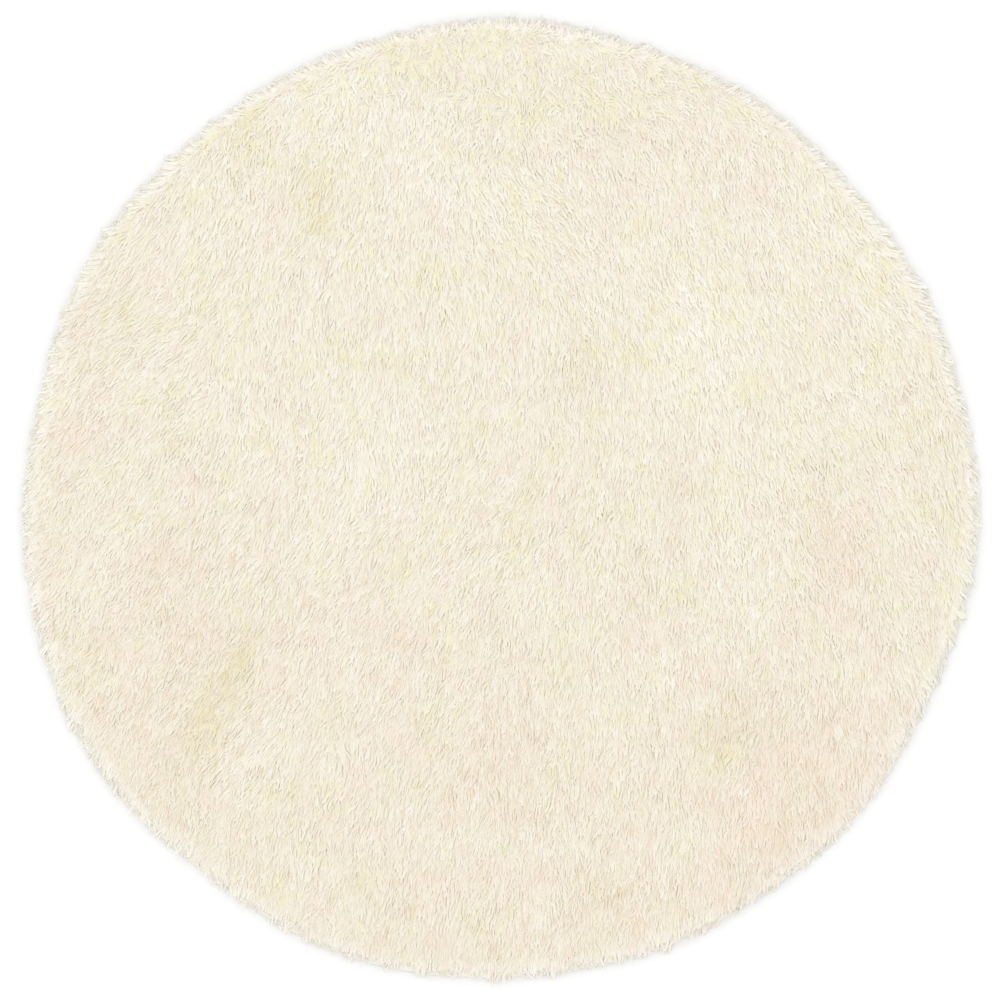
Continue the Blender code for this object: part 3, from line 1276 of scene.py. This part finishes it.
@dataclass
class ShagPile:
    """The rug's locks, laid over each other like thatch, from the crown to the floor.

    Attributes:
        surface: the pile's outer form.
        edge: how the pile ends at the rug's edge.
        finish: the yarn's finish.
        shape: of one lock.
        hairs: the loose hairs round the edge.
        tint: how the locks' tones vary.
        spacing: from one lock's tip to the next.
        overspread: how far past the rug's radius tips are tried, as a share of it.
        stray: how far a tip is from its even place at most, as a share of the spacing.
        clump: from one clump of locks to the next.
        clump_turn: spread of the clumps' turns, in degrees.
        clump_rise: spread of the clumps' height.
        clump_light: spread of the clumps' lightness.
        clump_hue: spread of the clumps' hue.
        tangle_hue: what a tangle adds to the hue.
        gather: how far a lock draws to its clump's middle at most, as a share of the way.
        width: a lock's full width.
        width_span: the least and the most of that which one has, as shares.
        run: how far a lock lies over its neighbours.
        run_span: the least and the most of that which one does, as shares.
        turn: spread of the single locks' turns, in degrees.
        turn_ripples: slow and quick turns of the nap.
        rise: spread of the single locks' height.
        dive: the least and the most slope of a lock's stem into the pile, in degrees.
        bow: spread of the stems' sideways bend.
        root_depth: from the bed of the pile down to a lock's root.
        root_room: the roots' least distances from the rug's edge and from the floor.
        bend_room: the same for the points that the stems bend towards.
        most_roll: how far a lock turns about its own length.
        seed: of the random draws.
    """

    surface: PileSurface
    edge: RaggedEdge
    finish: ShagFinish
    shape: LockShape = LockShape((Ring(0.50, 1.0), Ring(0.88, 0.85)))
    hairs: FringeHairs = FringeHairs()
    tint: PileTint = PileTint()
    spacing: float = 0.00430
    overspread: float = 0.1
    stray: float = 0.50
    clump: float = 0.011
    clump_turn: Spread = Spread(6, 16)
    clump_rise: float = 0.0003
    clump_light: float = 0.066
    clump_hue: Spread = Spread(0.09, 0.12)
    tangle_hue: float = -0.05
    gather: float = 0.45
    width: float = 0.0032
    width_span: tuple[float, float] = (0.78, 1.22)
    run: float = 0.022
    run_span: tuple[float, float] = (0.80, 1.20)
    turn: Spread = Spread(13, 8)
    turn_ripples: tuple[Ripple, ...] = (
        Ripple(math.radians(14), 0.060, 1), Ripple(math.radians(10), 0.022, 2)
    )
    rise: float = 0.00025
    dive: tuple[float, float] = (0.5, 4.0)
    bow: float = 0.0008
    root_depth: float = 0.0012
    root_room: tuple[float, float] = (0.013, 0.0035)
    bend_room: tuple[float, float] = (0.003, 0.003)
    most_roll: float = math.radians(35)
    seed: int = 7

    def scatter(self, dice: np.random.Generator) -> np.ndarray:
        """Spreads the lock tips evenly over the pile, as if it were rolled out flat.

        Args:
            dice: the random draws.

        Returns:
            The rolled-out place of each tip, whose distance from the middle is its travel.
        """
        reach = self.surface.outline.nap.radius * (1 + self.overspread)
        row_height = self.spacing * math.sqrt(3) / 2
        last_row, last_column = math.ceil(reach / row_height), math.ceil(reach / self.spacing)
        row, column = (table.ravel() for table in np.meshgrid(
            np.arange(-last_row, last_row + 1), np.arange(-last_column, last_column + 1), indexing="ij"
        ))
        tips = np.stack([(column + 0.5 * (row % 2)) * self.spacing, row * row_height], axis=1)
        tips = tips + dice.uniform(-self.stray, self.stray, tips.shape) * self.spacing
        angle, travel = polar(tips)
        return tips[travel <= self.surface.whole_travel(angle)]

    def clump_together(
        self, tips: np.ndarray, tangle: np.ndarray, dice: np.random.Generator
    ) -> Clumps:
        """Gathers the locks in clumps.

        Args:
            tips: the rolled-out places of the lock tips.
            tangle: how tangled the pile is there.
            dice: the random draws.

        Returns:
            What each lock shares with its clump.
        """
        some = int(len(tips) * (self.spacing / self.clump) ** 2)
        middles = tips[dice.permutation(len(tips))[:some]]
        tree = kdtree.KDTree(len(middles))
        for index, middle in enumerate(middles):
            tree.insert(Vector((*middle, 0.0)), index)
        tree.balance()
        own = np.array([tree.find(Vector((*tip, 0.0)))[1] for tip in tips])
        turn, rise, light, hue = (
            dice.normal(0, spread, own.max() + 1)[own]
            for spread in (1, self.clump_rise, self.clump_light, 1)
        )
        return Clumps(
            middle=middles[own], turn=turn * np.radians(self.clump_turn.at(tangle)), rise=rise,
            lightness=light, hue=hue * self.clump_hue.at(tangle) + self.tangle_hue * tangle,
        )

    def keep_inside(self, points: np.ndarray, room: tuple[float, float]) -> np.ndarray:
        """Draws points of the stems in from the rug's edge and off the floor.

        Args:
            points: the points.
            room: their least distances from the edge and from the floor.

        Returns:
            The points, moved in where they lay outside.
        """
        margin, lowest = room
        angle, far = polar(points)
        shrink = np.minimum(1.0, (self.surface.outline.tips(angle) - margin) / np.maximum(far, TINY))
        return np.column_stack([points[:, :2] * shrink[:, None], np.maximum(points[:, 2], lowest)])

    def lay(self) -> tuple[Locks, np.ndarray]:
        """Lays all the locks.

        Returns:
            The locks, and how far down the rim's rounding each one's tip is.
        """
        dice = np.random.default_rng(self.seed)
        surface, nap = self.surface, self.surface.outline.nap
        tips = self.scatter(dice)
        count = len(tips)
        place, _, down = surface.place(tips)
        flat = place[:, :2]
        tangle = nap.tangle(flat)
        clumps = self.clump_together(tips, tangle, dice)

        turn = clumps.turn + dice.normal(0, 1, count) * np.radians(self.turn.at(tangle))
        turn += sum(ripple.over(flat) for ripple in self.turn_ripples)
        flow = self.edge.spill_over(nap.flow(flat, turn), flat, down)
        side = np.stack([flow[:, 1], -flow[:, 0]], axis=1)

        aside = ((clumps.middle - tips) * side).sum(axis=1)
        tips = tips + side * (aside * dice.uniform(0.0, self.gather, count))[:, None]
        rise = clumps.rise + dice.normal(0, self.rise, count)
        run = self.run * dice.uniform(*self.run_span, count)
        dive = np.tan(np.radians(dice.uniform(*self.dive, count)))
        bow = dice.normal(0, self.bow, count)

        tip, normal, share = surface.place(tips)
        tip = tip + normal * rise[:, None]
        reach, loose = self.edge.fray(tip, flow, share, dice)
        bend, out, _ = surface.place(tips - flow * (0.5 * run)[:, None] + side * bow[:, None])
        bend = bend + out * (rise - 0.5 * run * dive)[:, None]
        root, inward, deeper = surface.place(tips - flow * run[:, None])
        root = root - inward * (surface.bed_depth(deeper) + self.root_depth)[:, None]
        light, hue = self.tint.tones(flat, share, clumps, surface, dice)
        width = self.width * dice.uniform(*self.width_span, count)
        return Locks(
            root=self.keep_inside(root, self.root_room), bend=self.keep_inside(bend, self.bend_room),
            tip=tip + reach, out=unit(normal + out),
            width=width * np.where(loose, self.edge.loose_width, 1.0),
            roll=dice.uniform(-self.most_roll, self.most_roll, count),
            lightness=light, hue=hue,
        ), share

    def build(self) -> list[bpy.types.Object]:
        """Builds the pile.

        Returns:
            Its pieces: four quarters of the field, the rim and the fringe of loose hairs.
        """
        locks, share = self.lay()
        on_rim = share > 0
        groups = {
            f"pile_{side.name.lower()}": ~on_rim & side.holds(locks.tip[:, :2]) for side in Side
        }
        groups["pile_rim"] = on_rim
        mesher = LockMesher(self.shape)
        meshes = [mesher.join(name, locks.only(chosen)) for name, chosen in groups.items()]
        hairs = self.hairs.lay(self.surface, self.edge, np.random.default_rng(self.seed + 1))
        meshes.append(LockMesher(self.hairs.shape).join("pile_fringe", hairs))
        material = self.finish.material()
        return [finished_piece(mesh, material) for mesh in meshes]


@dataclass
class PileBed:
    """The dense pile under the lock tips, which shows only in the gaps between them.

    Attributes:
        surface: the pile's outer form.
        finish: its finish.
        floor_gap: from the floor to its flat underside.
        least_thickness: of the bed at its edge.
        last_share: share of the way to the floor where its top ends.
        base_rings: where the rings of its underside lie, as shares of its width.
        rings: from the middle to the rim.
        spokes: round the rug.
        weld: the distance within which the spun cut's points join.
    """

    surface: PileSurface
    finish: BedFinish
    floor_gap: float = 0.0024
    least_thickness: float = 0.0005
    last_share: float = 0.999
    base_rings: tuple[float, ...] = (0.97, 0.5, 0.0)
    rings: int = 70
    spokes: int = 240
    weld: float = 1e-5

    def build(self) -> bpy.types.Object:
        """Builds the bed by spinning its cut, then lays its top under the pile's outer form.

        Returns:
            The bed.
        """
        bm = bmesh.new()
        cut = [(index / self.rings, 0, 1) for index in range(self.rings + 1)]
        cut += [(share, 0, 0) for share in self.base_rings]
        verts = [bm.verts.new(point) for point in cut]
        edges = [bm.edges.new(pair) for pair in zip(verts, verts[1:])]
        bmesh.ops.spin(
            bm, geom=verts + edges, cent=(0, 0, 0), axis=(0, 0, 1), angle=math.tau,
            steps=self.spokes, use_merge=True,
        )
        bmesh.ops.remove_doubles(bm, verts=bm.verts, dist=self.weld)
        self.settle(bm)
        bmesh.ops.recalc_face_normals(bm, faces=bm.faces)
        mesh = mesh_from("pile_bed", bm)
        mesh.shade_smooth()
        return finished_piece(mesh, self.finish.material())

    def settle(self, bm: bmesh.types.BMesh) -> None:
        """Moves the spun bed's points under the pile's outer form.

        Args:
            bm: the spun bed, whose points hold a share of the way to the floor, and 1 on the
                top or 0 on the underside.
        """
        points = np.array([vert.co[:] for vert in bm.verts])
        angle, share = polar(points)
        travel = np.minimum(share, self.last_share) * self.surface.whole_travel(angle)
        place, normal, down = self.surface.place(outward(angle) * travel[:, None])
        top = place - normal * self.surface.bed_depth(down)[:, None]
        top[:, 2] = np.maximum(top[:, 2], self.floor_gap + self.least_thickness)
        far = np.maximum(polar(place)[1], TINY)
        base = place * np.minimum(1.0, self.surface.outline.roots(angle) / far)[:, None]
        base[:, 2] = self.floor_gap
        for vert, settled in zip(bm.verts, np.where(points[:, 2:] > 0.5, top, base)):
            vert.co = settled


@dataclass
class GroundCloth:
    """The thin woven cloth that the locks are rooted in, out of sight from above.

    Attributes:
        outline: the rug's edge.
        finish: its finish.
        thickness: of the cloth.
        margin: from the outermost roots to the cloth's edge.
        segments: round its edge.
        sharp: the least angle between faces that shows as an edge.
    """

    outline: Outline
    finish: ClothFinish
    thickness: float = 0.0020
    margin: float = 0.001
    segments: int = 240
    sharp: float = math.radians(40)

    def build(self, pile: list[bpy.types.Object]) -> bpy.types.Object:
        """Builds the cloth.

        Args:
            pile: the pieces that stand on it; not used.

        Returns:
            The cloth, a sheet that lies flat.
        """
        bm = bmesh.new()
        bmesh.ops.create_circle(bm, cap_ends=True, segments=self.segments, radius=1.0)
        angle, _ = polar(np.array([vert.co[:] for vert in bm.verts]))
        edge = outward(angle) * (self.outline.roots(angle) - self.margin)[:, None]
        for vert, place in zip(bm.verts, edge):
            vert.co = (*place, 0.0)
        area = sum(face.calc_area() for face in bm.faces)
        raised = bmesh.ops.extrude_face_region(bm, geom=bm.faces[:])["geom"]
        top = [item for item in raised if isinstance(item, bmesh.types.BMVert)]
        bmesh.ops.translate(bm, verts=top, vec=(0, 0, self.thickness))
        bmesh.ops.recalc_face_normals(bm, faces=bm.faces)
        mesh = mesh_from("ground_cloth", bm)
        mesh.shade_smooth()
        mesh.set_sharp_from_angle(angle=self.sharp)
        cloth = finished_piece(mesh, self.finish.material())
        return cloth


@dataclass(frozen=True)
class Studio:
    """Pale floor, soft light from above and a camera that looks straight down.

    Attributes:
        image: width of the square image, in pixels.
        disc: the rug's width in it, in pixels.
        lens: the camera's lens, in millimetres.
        camera_place: the camera's place over the rug, which frames it as the photo does.
        focus_height: the height over the floor at which the disc is measured.
        floor_size: of the floor.
        sky: the colour of the light from all round.
        ambient: its strength.
        key: strength of the light from above.
        key_angle: how wide its source is.
        key_turn: its turns about X, Y and Z.
    """

    image: int = 1000
    disc: int = 958
    lens: float = 100.0
    camera_place: tuple[float, float] = (0.002, 0.002)
    focus_height: float = 0.010
    floor_size: float = 8.0
    sky: Colour = (1.0, 1.0, 1.0, 1.0)
    ambient: float = 1.00
    key: float = 0.26
    key_angle: float = math.radians(60)
    key_turn: tuple[float, float, float] = (math.radians(-18), math.radians(-14), 0.0)

    def build(self, rug_width: float) -> None:
        """Sets up the floor, the light and the camera.

        Args:
            rug_width: the rug's real width.
        """
        self.lay_floor()
        self.light()
        self.aim(rug_width)

    def lay_floor(self) -> None:
        """Lays the floor just under the rug."""
        bm = bmesh.new()
        bmesh.ops.create_grid(bm, x_segments=1, y_segments=1, size=self.floor_size / 2)
        mesh = mesh_from("floor", bm)
        mesh.materials.append(FloorFinish().material())
        floor = bpy.data.objects.new("floor", mesh)
        bpy.context.scene.collection.objects.link(floor)

    def light(self) -> None:
        """Lights the scene softly from all round and from above."""
        scene = bpy.context.scene
        world = bpy.data.worlds.new("studio")
        world.use_nodes = True
        around = world.node_tree.nodes["Background"]
        around.inputs["Color"].default_value = self.sky
        around.inputs["Strength"].default_value = self.ambient
        scene.world = world
        lamp = bpy.data.lights.new("key", "SUN")
        lamp.energy = self.key
        lamp.angle = self.key_angle
        key = bpy.data.objects.new("key", lamp)
        key.rotation_euler = self.key_turn
        scene.collection.objects.link(key)
        scene.view_settings.view_transform = "Standard"

    def aim(self, rug_width: float) -> None:
        """Places the camera so that the rug fills as much of the image as in the photo.

        Args:
            rug_width: the rug's real width.
        """
        scene = bpy.context.scene
        lens = bpy.data.cameras.new("camera")
        lens.lens = self.lens
        across = rug_width * self.image / self.disc
        camera = bpy.data.objects.new("camera", lens)
        height = across * self.lens / lens.sensor_width + self.focus_height
        camera.location = (*self.camera_place, height)
        scene.collection.objects.link(camera)
        scene.camera = camera


def report_piece(piece: bpy.types.Object) -> None:
    """Reports a finished piece and its triangles in the log."""
    LOG.info("%s: %d triangles", piece.name, len(piece.data.loops) - 2 * len(piece.data.polygons))


def main() -> None:
    """Builds the rug and the studio."""
    logging.basicConfig(level=logging.INFO, format="%(message)s")
    low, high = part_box(NODE)
    nap = NapField(radius=round((high.x - low.x) / 2, 2))
    outline = Outline(nap)
    surface = PileSurface(outline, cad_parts[NODE])
    pile = ShagPile(surface, RaggedEdge(outline), ShagFinish()).build()
    pile.append(PileBed(surface, BedFinish()).build())
    cloth = GroundCloth(outline, ClothFinish()).build(pile)
    for piece in (*pile, cloth):
        report_piece(piece)
    Studio().build(2 * nap.radius)


if __name__ == "__main__":
    main()
